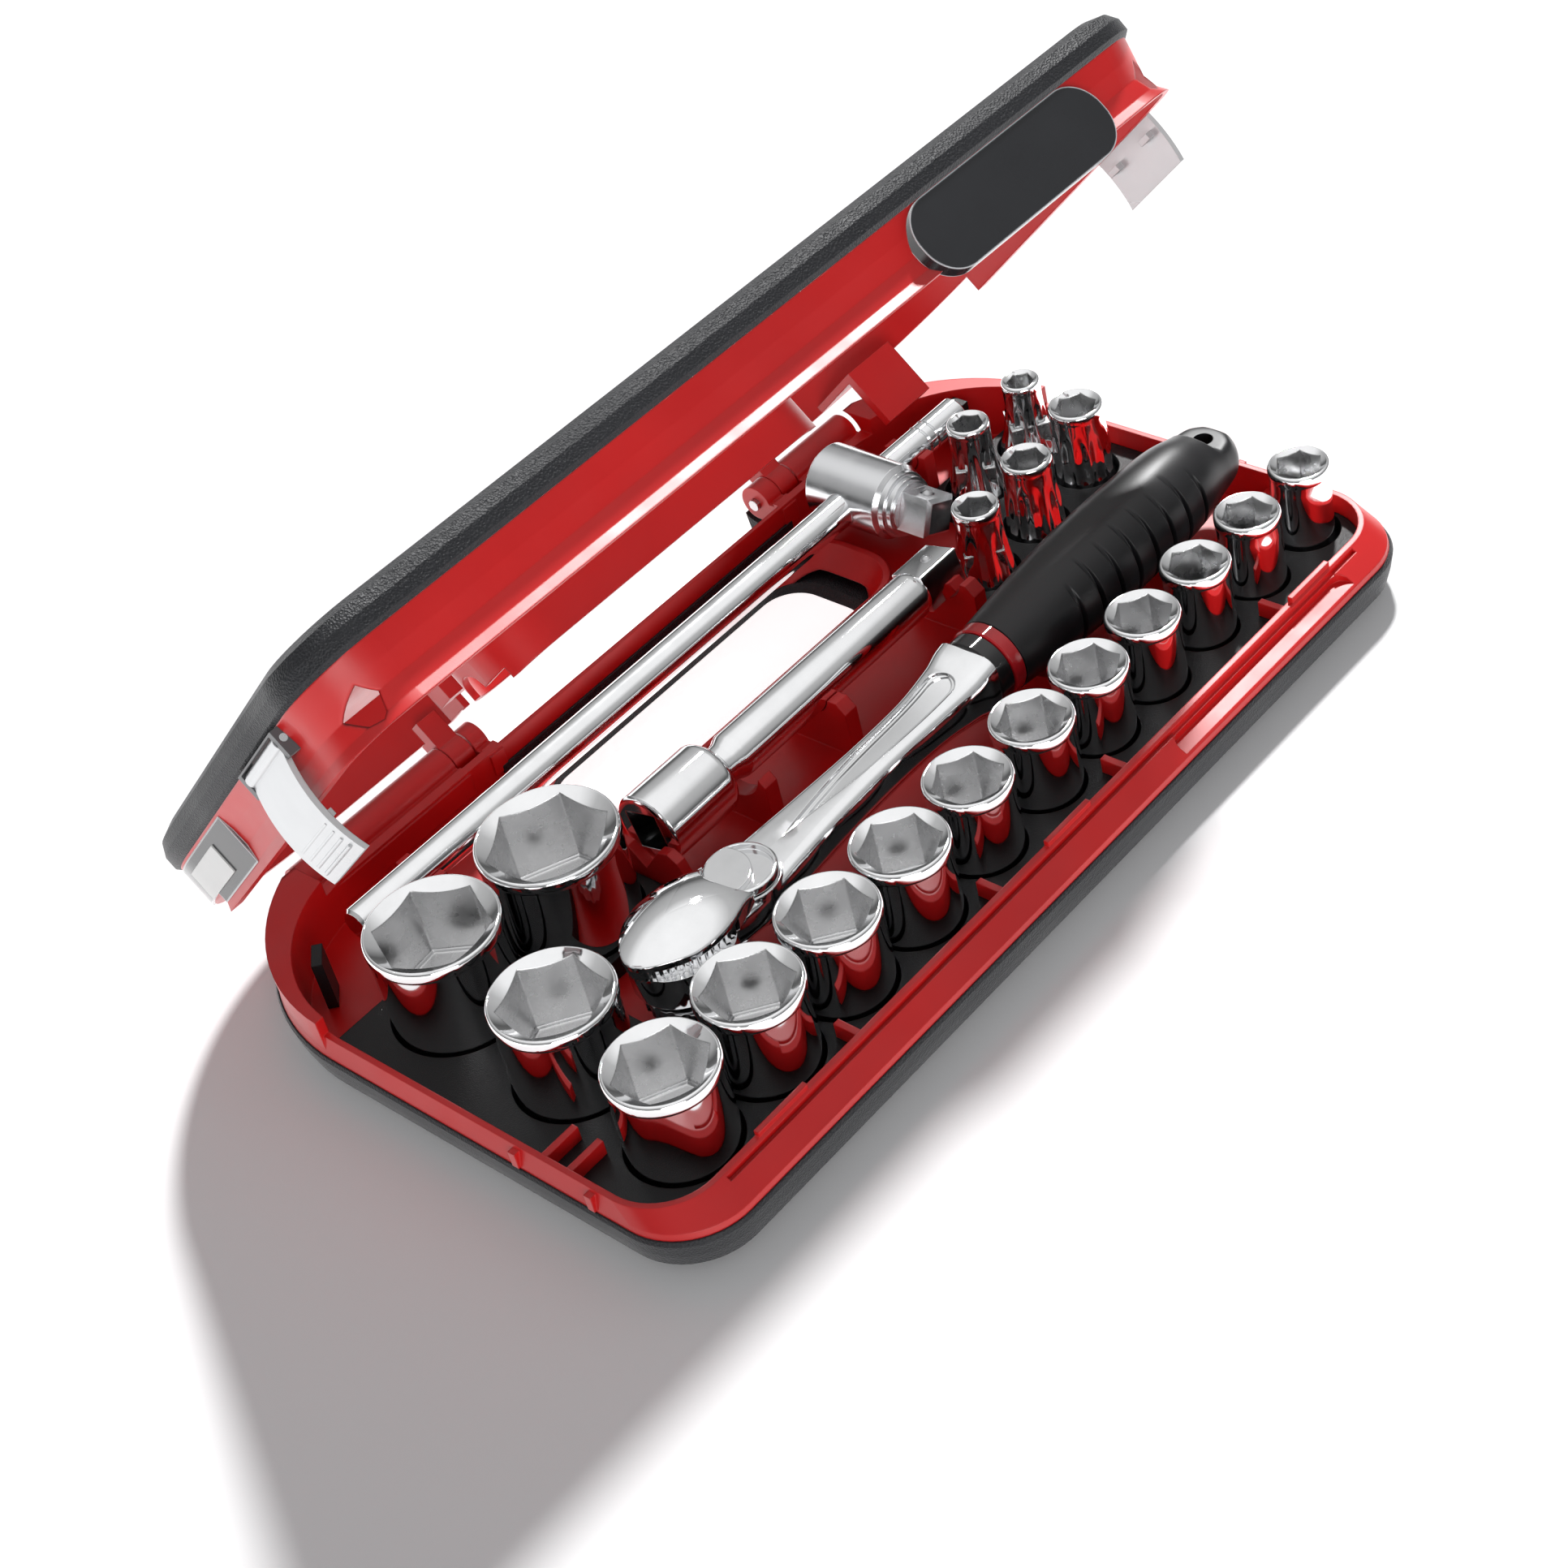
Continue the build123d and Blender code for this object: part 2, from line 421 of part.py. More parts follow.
# bore for the drive
rat -= cyl(RAX, RAY, 15, 33.0, 13.05)
save(rat, "ratchet_handle")
drv = cyl(RAX, RAY, 19.0, 32.8, 13.0) + cyl(RAX, RAY, 16.6, 21.2, 17.6)
for i in range(24):
    t = 15.0 * i
    drv -= Pos(RAX, RAY, 19.2) * Rot(0, 0, t) * Pos(18.6, 0, 0) * Cylinder(1.7, 6)
sq = Pos(RAX, RAY, 11.0) * Rot(0, 0, 20) * Box(12.7, 12.7, 12.0)
sq = chamfer(sq.edges().group_by(Axis.Z)[0], 1.2)
drv += sq
drv -= Pos(RAX, RAY, 10.5) * Rot(0, 0, 20) * Pos(6.4, 0, 0) * Rot(0, 90, 0) * Cylinder(2.4, 3.4)
save(drv, "ratchet_drive")
save(Pos(RAX, RAY, 10.5) * Rot(0, 0, 20) * Rot(0, 90, 0) * BALL, "ratchet_ball")
lev = cyl(LVX, RAY, 35.3, 38.6, 9.0) + Pos(LVX - 5.0, RAY, 37.9) * extrude(RectangleRounded(20.0, 9.0, 4.4), 3.0)
lev = lev + Pos(LVX + 3.0, RAY, 38.4) * Box(5.0, 12.5, 1.8)
save(lev, "reversing_lever")
save(cylx(40.0, 46.0, RAY, GRZ, 12.8) - cylx(39, 47, RAY, GRZ, 8.0), "ratchet_collar")
save(cylx(46.0, 50.5, RAY, GRZ, 13.2) - cylx(45, 52, RAY, GRZ, 8.0), "ratchet_ring")
# grip
gp = [(50.5, 8.0), (50.5, 13.8), (52.0, 14.4), (60.0, 14.6)]
for i in range(7):
    x0 = 62.0 + 10.2 * i
    R = 14.6 + 0.35 * math.sin(math.pi * (i + 1) / 8)
    gp += [(x0, R), (x0 + 1.5, R - 0.8), (x0 + 3.0, R + 0.05), (x0 + 7.0, R + 0.2)]
gp += [(136.0, 14.2), (146.0, 12.6), (151.0, 12.6), (156.0, 13.2), (159.6, 11.6), (GR1, 9.0), (GR1, 0), (50.5 + 60, 0), (50.5 + 60, 8.0)]
grip = revolve(Plane.XY * make_face(Polyline(gp + [gp[0]])), Axis.X)
grip = Pos(0, RAY, GRZ) * grip
grip -= Pos(155.0, RAY, GRZ) * Rot(0, 0, 0) * Cylinder(3.2, 40)
save(grip, "ratchet_grip")
core = cylx(39.9, 110.0, RAY, GRZ, 8.0)
save(core, "ratchet_core")
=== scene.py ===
import math

import bmesh
import bpy
from mathutils import Matrix, Vector

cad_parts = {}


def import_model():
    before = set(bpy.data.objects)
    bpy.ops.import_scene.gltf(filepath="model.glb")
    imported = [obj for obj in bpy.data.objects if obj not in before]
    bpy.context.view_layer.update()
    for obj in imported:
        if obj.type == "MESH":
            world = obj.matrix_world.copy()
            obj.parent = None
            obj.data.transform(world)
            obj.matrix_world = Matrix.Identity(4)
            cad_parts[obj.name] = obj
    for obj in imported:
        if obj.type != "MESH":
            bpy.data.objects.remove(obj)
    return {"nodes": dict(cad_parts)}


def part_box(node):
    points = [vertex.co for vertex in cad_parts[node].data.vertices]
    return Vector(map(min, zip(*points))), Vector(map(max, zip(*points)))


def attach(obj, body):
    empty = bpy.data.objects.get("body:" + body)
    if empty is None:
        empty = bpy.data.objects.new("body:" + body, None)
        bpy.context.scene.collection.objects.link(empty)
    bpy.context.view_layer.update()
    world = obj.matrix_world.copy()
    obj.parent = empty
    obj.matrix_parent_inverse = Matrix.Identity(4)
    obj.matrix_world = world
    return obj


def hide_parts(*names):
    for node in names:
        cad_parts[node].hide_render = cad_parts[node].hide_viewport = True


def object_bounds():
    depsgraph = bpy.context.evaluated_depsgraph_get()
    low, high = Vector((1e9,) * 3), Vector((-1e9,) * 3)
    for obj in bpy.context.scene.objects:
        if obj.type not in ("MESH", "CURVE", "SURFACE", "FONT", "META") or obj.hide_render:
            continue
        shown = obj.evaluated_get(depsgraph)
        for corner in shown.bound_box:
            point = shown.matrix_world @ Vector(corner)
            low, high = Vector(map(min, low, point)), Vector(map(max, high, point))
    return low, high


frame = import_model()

CAD_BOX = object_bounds()
NODES = frame["nodes"]
MM = 0.001


# ---------------------------------------------------------------- node helpers
class Mat:
    """A material and short ways to add and join its nodes."""

    def __init__(self, name):
        self.m = bpy.data.materials.new(name)
        self.m.use_nodes = True
        self.t = self.m.node_tree
        self.b = self.t.nodes["Principled BSDF"]
        self.out = self.t.nodes["Material Output"]

    def node(self, kind, **values):
        n = self.t.nodes.new(kind)
        for key, v in values.items():
            setattr(n, key, v)
        return n

    def join(self, a, b):
        self.t.links.new(a, b)

    def set(self, name, value):
        self.b.inputs[name].default_value = value

    def coord(self):
        return self.node("ShaderNodeTexCoord").outputs["Object"]

    def noise(self, scale, detail=3.0, rough=0.5):
        n = self.node("ShaderNodeTexNoise")
        n.inputs["Scale"].default_value = scale
        n.inputs["Detail"].default_value = detail
        n.inputs["Roughness"].default_value = rough
        self.join(self.coord(), n.inputs["Vector"])
        return n.outputs["Fac"]

    def voronoi(self, scale):
        n = self.node("ShaderNodeTexVoronoi")
        n.inputs["Scale"].default_value = scale
        self.join(self.coord(), n.inputs["Vector"])
        return n.outputs["Distance"]

    def ramp(self, fac, *stops):
        n = self.node("ShaderNodeValToRGB")
        el = n.color_ramp.elements
        while len(el) < len(stops):
            el.new(0.5)
        for e, (p, c) in zip(el, stops):
            e.position = p
            e.color = (*c, 1.0)
        self.join(fac, n.inputs["Fac"])
        return n.outputs["Color"]

    def span(self, fac, a, b, lo, hi):
        n = self.node("ShaderNodeMapRange")
        for key, v in (("From Min", a), ("From Max", b), ("To Min", lo), ("To Max", hi)):
            n.inputs[key].default_value = v
        self.join(fac, n.inputs["Value"])
        return n.outputs["Result"]

    def math(self, op, a, b=0.0):
        n = self.node("ShaderNodeMath", operation=op)
        for i, v in enumerate((a, b)):
            if isinstance(v, (int, float)):
                n.inputs[i].default_value = v
            else:
                self.join(v, n.inputs[i])
        return n.outputs[0]

    def bevel(self, radius, samples=6):
        n = self.node("ShaderNodeBevel")
        n.samples = samples
        n.inputs["Radius"].default_value = radius
        return n.outputs["Normal"]

    def bump(self, height, strength, distance, normal=None):
        n = self.node("ShaderNodeBump")
        n.inputs["Strength"].default_value = strength
        n.inputs["Distance"].default_value = distance
        self.join(height, n.inputs["Height"])
        if normal is not None:
            self.join(normal, n.inputs["Normal"])
        return n.outputs["Normal"]

    def to(self, socket, value):
        self.join(value, self.b.inputs[socket])


def leather_plastic(name, dark, light, rough=(0.42, 0.56), grain=1500.0, depth=0.0003, gloss=0.3):
    """Black moulded plastic with a fine leather grain."""
    m = Mat(name)
    cells = m.voronoi(grain)
    soft = m.noise(grain * 1.7, 2.0)
    h = m.math("ADD", cells, m.math("MULTIPLY", soft, 0.6))
    patch = m.noise(22.0, 2.0)
    mixed = m.math("ADD", m.math("MULTIPLY", h, 0.5), m.math("MULTIPLY", patch, 0.4))
    m.to("Base Color", m.ramp(mixed, (0.15, dark), (0.9, light)))
    m.to("Roughness", m.span(patch, 0.3, 0.7, *rough))
    m.to("Normal", m.bump(h, 0.7, depth, m.bevel(0.0005)))
    m.set("Specular IOR Level", gloss)
    return m.m


def red_plastic(name, deep, bright):
    """Satin red plastic with a very fine texture and faint flow marks."""
    m = Mat(name)
    cloud = m.noise(16.0, 3.0)
    m.to("Base Color", m.ramp(cloud, (0.3, deep), (0.72, bright)))
    m.to("Roughness", m.span(m.noise(60.0), 0.3, 0.7, 0.34, 0.44))
    m.to("Normal", m.bump(m.noise(3600.0, 2.0), 0.3, 0.00006, m.bevel(0.0006)))
    m.set("Coat Weight", 0.08)
    m.set("Coat Roughness", 0.3)
    return m.m


def chrome(name, tint, rough, waves=0.00002, edge=0.00035, even=0.94):
    """Plated steel: faint waviness, and wear that shows as slight changes of gloss."""
    m = Mat(name)
    m.set("Metallic", 1.0)
    worn = m.noise(140.0, 4.0, 0.6)
    m.to("Base Color", m.ramp(worn, (0.25, tuple(even * c for c in tint)), (0.7, tint)))
    m.to("Roughness", m.span(worn, 0.35, 0.75, rough * 0.75, rough * 1.35))
    m.to("Normal", m.bump(m.noise(55.0, 2.0), 0.25, waves, m.bevel(edge)))
    return m.m


def rubber(name):
    """Dark satin rubber with a fine texture."""
    m = Mat(name)
    cloud = m.noise(30.0, 3.0)
    m.to("Base Color", m.ramp(cloud, (0.3, (0.007, 0.007, 0.008)), (0.75, (0.016, 0.016, 0.018))))
    m.to("Roughness", m.span(cloud, 0.3, 0.7, 0.30, 0.42))
    m.to("Normal", m.bump(m.noise(3000.0, 2.0), 0.25, 0.00008, m.bevel(0.0004)))
    m.set("Specular IOR Level", 0.45)
    return m.m


def plain(name, colour, rough, metallic=0.0, coat=0.0):
    """A smooth moulded or painted surface, with or without a clear coat."""
    m = Mat(name)
    n = m.noise(45.0, 3.0)
    m.to("Base Color", m.ramp(n, (0.3, tuple(0.88 * c for c in colour)), (0.7, colour)))
    m.to("Roughness", m.span(n, 0.3, 0.7, rough * 0.85, rough * 1.15))
    m.to("Normal", m.bump(m.noise(3500.0, 2.0), 0.25, 0.00004, m.bevel(0.0003)))
    m.set("Metallic", metallic)
    m.set("Coat Weight", coat)
    return m.m


def plate_with_painted_edge_highlight(name, colour, line, rough, width):
    """A smooth dark plate with a painted highlight: a thin pale line painted along its rounded edge."""
    m = Mat(name)
    geo = m.node("ShaderNodeNewGeometry")
    dot = m.node("ShaderNodeVectorMath", operation="DOT_PRODUCT")
    m.join(geo.outputs["True Normal"], dot.inputs[0])
    m.join(m.bevel(width, 8), dot.inputs[1])
    # painted highlight: the colour turns pale where the bevelled normal bends away from the true normal
    edge = m.span(dot.outputs["Value"], 0.99, 0.93, 0.0, 1.0)
    n = m.noise(45.0, 3.0)
    flat = m.ramp(n, (0.3, tuple(0.85 * c for c in colour)), (0.7, colour))
    mix = m.node("ShaderNodeMix", data_type="RGBA")
    m.join(edge, mix.inputs[0])
    m.join(flat, mix.inputs[6])
    mix.inputs[7].default_value = (*line, 1.0)
    m.to("Base Color", mix.outputs[2])
    m.to("Roughness", m.span(n, 0.3, 0.7, rough * 0.8, rough * 1.2))
    return m.m


# ---------------------------------------------------------------- the finishes
RED = red_plastic("red satin plastic", (0.58, 0.007, 0.008), (0.72, 0.011, 0.011))
BLACK = leather_plastic("black grained plastic", (0.007, 0.0075, 0.009), (0.024, 0.025, 0.029))
INSERT = leather_plastic("black insert", (0.003, 0.003, 0.0035), (0.009, 0.009, 0.010),
                         rough=(0.30, 0.42), grain=3200.0, depth=0.00008, gloss=0.25)
BRIGHT = (0.93, 0.935, 0.945)
SOCKET = chrome("socket chrome", BRIGHT, 0.06)
BORE = chrome("socket bore", (0.84, 0.84, 0.845), 0.27, waves=0.000005, edge=0.0009, even=0.985)
CHROME = chrome("polished chrome", BRIGHT, 0.08)
SATIN = chrome("satin chrome", (0.78, 0.785, 0.80), 0.20)
STEEL = chrome("pin steel", (0.55, 0.55, 0.56), 0.30)
LATCH = plain("silver latch", (0.62, 0.63, 0.64), 0.30, metallic=0.5)
LUGS = plain("dark latch seat", (0.10, 0.10, 0.105), 0.35)
# the label's pale edge line is a painted highlight, not a print
LABEL = plate_with_painted_edge_highlight("black label", (0.016, 0.017, 0.020), (0.55, 0.56, 0.58), 0.22, 0.0009)
CARD = plain("white card", (0.85, 0.85, 0.84), 0.45)
RING = plain("red ring", (0.62, 0.010, 0.018), 0.22, coat=0.4)
COLLAR = plain("black collar", (0.012, 0.012, 0.013), 0.22, coat=0.4)
GRIP = rubber("black rubber")

FINISH = {
    "base_shell": BLACK, "lid_shell": BLACK, "base_tray": RED, "lid_liner": RED,
    "socket_insert": INSERT, "small_socket_insert": INSERT,
    "corner_pad_left": INSERT, "corner_pad_right": INSERT,
    "hinge_pin_left": STEEL, "hinge_pin_right": STEEL,
    "lid_label_plate": LABEL, "side_label_pad": LABEL, "side_label_card": CARD,
    "latch_left": LATCH, "latch_right": LATCH, "latch_lugs_left": LUGS, "latch_lugs_right": LUGS,
    "latch_pin_left": STEEL, "latch_pin_right": STEEL,
    "t_bar": CHROME, "t_head": SATIN, "extension_bar": CHROME,
    "ratchet_handle": CHROME, "ratchet_drive": SATIN, "reversing_lever": CHROME,
    "ratchet_collar": COLLAR, "ratchet_ring": RING, "ratchet_grip": GRIP, "ratchet_core": STEEL,
    "t_head_ball": STEEL, "extension_ball": STEEL, "ratchet_ball": STEEL,
}
for name, node in NODES.items():
    finish = FINISH.get(name, SOCKET if name.startswith("socket_") else STEEL)
    node.data.materials.clear()
    node.data.materials.append(finish)
for name in ("lid_liner", "lid_shell", "lid_label_plate"):
    NODES[name].visible_glossy = False      # the studio, not the lid, shows in the chrome


# ---------------------------------------------------------------- pieces in mesh code
# from here to the floor, sizes are in millimetres, as in the CAD
TAU = 2 * math.pi


def share(value):
    """A value kept between 0 and 1."""
    return max(0.0, min(1.0, value))


def skin(rings, wrap=False):
    """Vertices and faces through rings that all have as many points; wrap joins last to first."""
    n = len(rings[0])
    count = len(rings)
    verts = [p for r in rings for p in r]
    faces = []
    for i in range(count if wrap else count - 1):
        a, b = i * n, (i + 1) % count * n
        faces += [(a + k, a + (k + 1) % n, b + (k + 1) % n, b + k) for k in range(n)]
    if not wrap:
        faces.append(tuple(range(n)))
        faces.append(tuple(range((count - 1) * n, count * n)))
    return verts, faces


def solid(name, parts, materials, sharp=32.0, pick=None):
    """One object from closed skins, crisp where it turns by more than sharp degrees.

    pick gives a face's material slot."""
    mesh = bpy.data.meshes.new(name)
    for m in materials:
        mesh.materials.append(m)
    bm = bmesh.new()
    for verts, faces in parts:
        made = [bm.verts.new(Vector(v) * MM) for v in verts]
        for f in faces:
            bm.faces.new([made[i] for i in f])
    bmesh.ops.recalc_face_normals(bm, faces=bm.faces)
    for f in bm.faces:
        f.smooth = True
    for e in bm.edges:
        if len(e.link_faces) == 2 and e.calc_face_angle(0.0) > math.radians(sharp):
            e.smooth = False
    bm.to_mesh(mesh)
    bm.free()
    ob = bpy.data.objects.new(name, mesh)
    bpy.context.scene.collection.objects.link(ob)
    if pick:
        for p in mesh.polygons:
            p.material_index = pick(p)
    return ob


def carve(ob, cutter, mode="DIFFERENCE", sharp=30.0):
    """Cut a closed skin out of an object, or join it on, and drop the cutter."""
    tool = solid("cutter", [cutter], ob.data.materials[:1])
    mod = ob.modifiers.new("cut", "BOOLEAN")
    mod.operation = mode
    mod.object = tool
    mod.solver = "EXACT"
    dg = bpy.context.evaluated_depsgraph_get()
    fresh = bpy.data.meshes.new_from_object(ob.evaluated_get(dg))
    ob.modifiers.clear()
    old = ob.data
    ob.data = fresh
    bpy.data.meshes.remove(old)
    bpy.data.objects.remove(tool)
    bm = bmesh.new()
    bm.from_mesh(ob.data)
    bmesh.ops.remove_doubles(bm, verts=bm.verts, dist=1e-7)
    for f in bm.faces:
        f.smooth = True
    for e in bm.edges:
        e.smooth = not (len(e.link_faces) == 2 and e.calc_face_angle(0.0) > math.radians(sharp))
    bm.to_mesh(ob.data)
    bm.free()


def placed(ob, body, slot, *nodes):
    """Fix an object to a body and hide the CAD nodes that it stands for. The slot argument is not used."""
    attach(ob, body)
    if nodes:
        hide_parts(*nodes)
    return ob


def spline_value(p, q, r, s, t):
    """Catmull-Rom value at share t of the way from q to r."""
    bend = (2 * p - 5 * q + 4 * r - s) * t * t
    twist = (3 * q - p - 3 * r + s) * t ** 3
    return 0.5 * (2 * q + (r - p) * t + bend + twist)


def smooth_line(points, steps):
    """Catmull-Rom curve through points of any dimension."""
    ext = [points[0], *points, points[-1]]
    out = []
    for a, b, c, d in zip(ext, ext[1:], ext[2:], ext[3:]):
        for i in range(steps):
            out.append(tuple(spline_value(p, q, r, s, i / steps) for p, q, r, s in zip(a, b, c, d)))
    return out + [tuple(points[-1])]


def place_of(node):
    """Centre, lowest and highest z of an upright round node, in mm."""
    lo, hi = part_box(node)
    return ((lo[0] + hi[0]) / 2 / MM, (lo[1] + hi[1]) / 2 / MM, lo[2] / MM, hi[2] / MM)


def circle(cx, cy, r, n=128):
    """Points round a circle that lies flat."""
    return [(cx + r * math.cos(TAU * k / n), cy + r * math.sin(TAU * k / n)) for k in range(n)]


def disc(points, cx, cy):
    """Rings of an upright turned shape through (r, z) points."""
    return [[(px, py, z) for px, py in circle(cx, cy, r)] for r, z in points]


def lathe(points, y, z, n=96):
    """Rings of a shape turned about a line along X, through (x, r) points."""
    return [[(px, y + r * math.cos(TAU * k / n), z + r * math.sin(TAU * k / n)) for k in range(n)]
            for px, r in points]


def prism(points, z0, z1):
    """Closed skin of a flat outline between two heights."""
    return skin([[(px, py, z) for px, py in points] for z in (z0, z1)])


def bar_box(x0, x1, y, z, half, turn, bevel=0.5, nose=1.3):
    """Square bar along X with rounded edges and a chamfered nose at x1."""
    c, s = math.cos(turn), math.sin(turn)

    def section(px, shrink):
        w = half - shrink
        pts = []
        for qy, qz in ((1, 1), (-1, 1), (-1, -1), (1, -1)):
            start = math.atan2(qz, qy) - math.pi / 4
            for i in range(5):
                t = start + math.pi / 2 * i / 4
                pts.append((qy * (w - bevel) + bevel * math.cos(t), qz * (w - bevel) + bevel * math.sin(t)))
        return [(px, y + c * py - s * pz, z + s * py + c * pz) for py, pz in pts]

    return skin([section(x0, 0.0), section(x1 - nose, 0.0),
                 section(x1 - nose * 0.4, nose * 0.35), section(x1, nose)])


# ---------------------------------------------------------------- sockets
# size of the hexagon: degrees that it is turned by
TURNS = {8: 6, 9: -3, 10: 1, 11: 8, 12: 24, 13: -28, 14: 23, 15: 26, 16: 26, 17: 27, 18: 22, 19: 30,
         21: 20, 22: 19, 23: 20, 24: -28, 27: 22, 30: 7, 32: -27}
LEAD_SLOPE = math.tan(math.radians(30))     # of the cone that leads into the hexagon
FOOT_R = 10.9           # a foot that holds the drive square has at least this radius
WAIST = 1.3             # a foot wider than the mouth by more than this has a fluted waist
FLUTES, FLUTE_DEPTH = 12, 0.95
MOUTH_WALL = 0.9
HEX_PLAY = 0.15
HEX_DEPTH = 15.0        # of the hexagon in sizes under THROUGH
THROUGH = 16            # from this size up, a round hole joins hexagon and square
HEX_FLOOR, SQUARE_TOP = 17.0, 14.5      # heights in sizes from THROUGH up
SQUARE_HALF = 6.45
WIDE_HOLE = {30: 6.3}   # radius of the round hole, where it isn't HOLE_R
HOLE_R = 2.6


def socket_outline(r, foot_r, h):
    """Outside of a socket from its foot to its mouth, as (r, z) points."""
    if foot_r - r > WAIST:
        line = [(foot_r - 1.0, 0.0), (foot_r - 0.45, 0.25), (foot_r - 0.2, 0.8), (foot_r - 0.2, 4.2),
                (foot_r - 0.45, 4.7), (foot_r - 0.95, 5.4), (foot_r - 0.5, 6.0)]
        line += smooth_line([(foot_r - 0.3, 6.4), (foot_r - 1.4, 12.0), (r + 0.75, 19.0),
                             (r - 0.05, 27.5), (r - 0.1, h - 3.2)], 5)
        line += [(r - 0.05, h - 2.9), (r, h - 2.6)]
    elif foot_r > r:
        line = [(foot_r - 0.8, 0.0), (foot_r - 0.25, 0.25), (foot_r, 0.8), (foot_r, 3.2)]
        line += smooth_line([(foot_r - 0.1, 3.6), ((foot_r + r) / 2, 7.5), (r - 0.15, 13.0),
                             (r - 0.2, h - 3.8)], 5)
        line += [(r - 0.15, h - 3.45), (r, h - 3.1)]
    else:
        line = [(r - 1.8, 0.0), (r - 1.25, 0.25), (r - 1.0, 0.8), (r - 1.0, 3.4), (r - 0.9, 3.75),
                (r - 0.5, 4.3), (r - 0.45, 4.8), (r - 0.45, h - 4.2), (r - 0.38, h - 3.85),
                (r - 0.08, h - 3.45), (r, h - 3.1)]
    return line + [(r, h - 1.5), (r - 0.06, h - 1.0), (r - 0.25, h - 0.55), (r - 0.5, h - 0.2),
                   (r - MOUTH_WALL, h)]


def socket(a):
    """Hexagon socket of size a: square below, hexagon with a wide conical lead-in above."""
    x, y, z0, z1 = place_of(f"socket_{a:02d}")
    h = z1 - z0
    turn = math.radians(TURNS[a])
    r = (1.24 * a + 3.2) / 2
    foot_r = max(r, FOOT_R)
    fluted = foot_r - r > WAIST
    n = 144 if fluted else 96
    mouth = r - MOUTH_WALL
    apothem = (a + HEX_PLAY) / 2
    zf = HEX_FLOOR if a >= THROUGH else h - HEX_DEPTH

    def polygon(k, sides, flat):
        step = TAU / sides
        t = TAU * k / n % step - step / 2
        return flat / math.cos(t)

    def ring(radius, z):
        points = []
        for k in range(n):
            t = turn + TAU * k / n
            rho = radius(k) if callable(radius) else radius
            height = z(k) if callable(z) else z
            points.append((x + rho * math.cos(t), y + rho * math.sin(t), z0 + height))
        return points

    def outside(rad, z):
        """A ring of the outside, with flutes that fade out towards foot and mouth."""
        fade = share((z - 6.5) / 6.0) * share((30.0 - z) / 9.0)
        if not fluted or fade <= 0:
            return ring(rad, z)
        deep = FLUTE_DEPTH * fade * fade * (3 - 2 * fade)
        return ring(lambda k: rad - deep * math.sin(math.pi * (k * FLUTES / n % 1)) ** 1.4, z)

    def hexagon(z, shrink=0.0):
        return ring(lambda k: polygon(k, 6, apothem - shrink), z)

    def square(z, grow=0.0):
        return ring(lambda k: polygon(k, 4, SQUARE_HALF + grow), z)

    def lead_in(part):
        """A ring of the cone, part of the way from the round mouth to the hexagon."""
        return ring(lambda k: mouth + (polygon(k, 6, apothem) - mouth) * part,
                    lambda k: h - max(0.05, mouth - polygon(k, 6, apothem)) * LEAD_SLOPE * part)

    rings = [outside(rad, z) for rad, z in socket_outline(r, foot_r, h)]
    rings += [ring(mouth - 0.12, h), lead_in(0.35), lead_in(0.7), lead_in(1.0)]
    bore = len(rings) - 1
    rings += [hexagon(zf + 5.0), hexagon(zf + 0.9), hexagon(zf + 0.25, 0.7), hexagon(zf, 0.8)]
    if a >= THROUGH:
        hole = WIDE_HOLE.get(a, HOLE_R)
        rings += [ring(hole + 0.3, zf), ring(hole, zf - 0.3), ring(hole, SQUARE_TOP), square(SQUARE_TOP)]
    else:
        rings += [square(zf)]
    rings += [square(0.6), square(0.0, 0.5)]

    def slot_of(face):
        """The bore is duller than the outside, apart from the bright edge round its floor."""
        band = face.index // n
        return 1 if bore <= band < len(rings) - 1 and band != bore + 2 else 0

    made = solid(f"socket_{a:02d}_body", [skin(rings, wrap=True)], [SOCKET, BORE], pick=slot_of)
    return placed(made, f"socket_{a:02d}", "polished_chrome", f"socket_{a:02d}")


for size in TURNS:
    socket(size)


# ---------------------------------------------------------------- extension
# its outline is a socket end, a neck and a bar; a square end is joined on
EXY, EXZ = 8.0, 29.0    # its axis
EX0, EX1 = -64.0, 77.0
EX_TURN = math.radians(-14)
EX_PROFILE = [(EX0, 9.3), (EX0, 11.0), (EX0 + 0.3, 11.6), (EX0 + 0.9, 12.0), (EX0 + 25.3, 12.0),
              (EX0 + 26.4, 11.85), (EX0 + 27.5, 11.2), (EX0 + 28.6, 9.9), (EX0 + 29.3, 8.4),
              (EX0 + 29.8, 7.0), (EX0 + 30.6, 6.4), (EX0 + 33.4, 6.4), (EX0 + 34.8, 6.7),
              (EX0 + 36.2, 7.4), (EX0 + 37.6, 7.8), (57.0, 7.8), (58.4, 7.6), (59.5, 7.1), (59.8, 6.0)]
extension = solid("extension_shaft", [skin(lathe(EX_PROFILE, EXY, EXZ))], [CHROME])
carve(extension, bar_box(EX0 - 3.0, EX0 + 17.0, EXY, EXZ, 6.48, EX_TURN, 0.4, 0.5))
carve(extension, bar_box(59.0, EX1, EXY, EXZ, 6.35, EX_TURN), "UNION")
placed(extension, "extension", "polished_chrome", "extension_bar")


# ---------------------------------------------------------------- ratchet
RAY, GRZ = -34.5, 30.0      # its axis
LVX, LVR = -68.4, 10.8      # the lever's disc: middle and radius
DCX, DTOP = -93.0, 45.0     # the dome's middle and top
DRL, DRC = 42.9, 22.1       # the dome's radii along X and across
HEAD_X = -98.0              # the head's outline shrinks towards this x
PEAR = [(-72.0, 9.8), (-78.0, 11.2), (-85.0, 13.5), (-93.0, 14.6), (-101.0, 13.4), (-108.0, 9.4),
        (-112.7, 4.6), (-114.3, 0.0)]


def dome_z(px, py):
    rc = DRC - DRL + math.sqrt(DRL ** 2 - (px - DCX) ** 2)
    return DTOP - DRC + math.sqrt(max(rc * rc - (py - RAY) ** 2, 0.0))


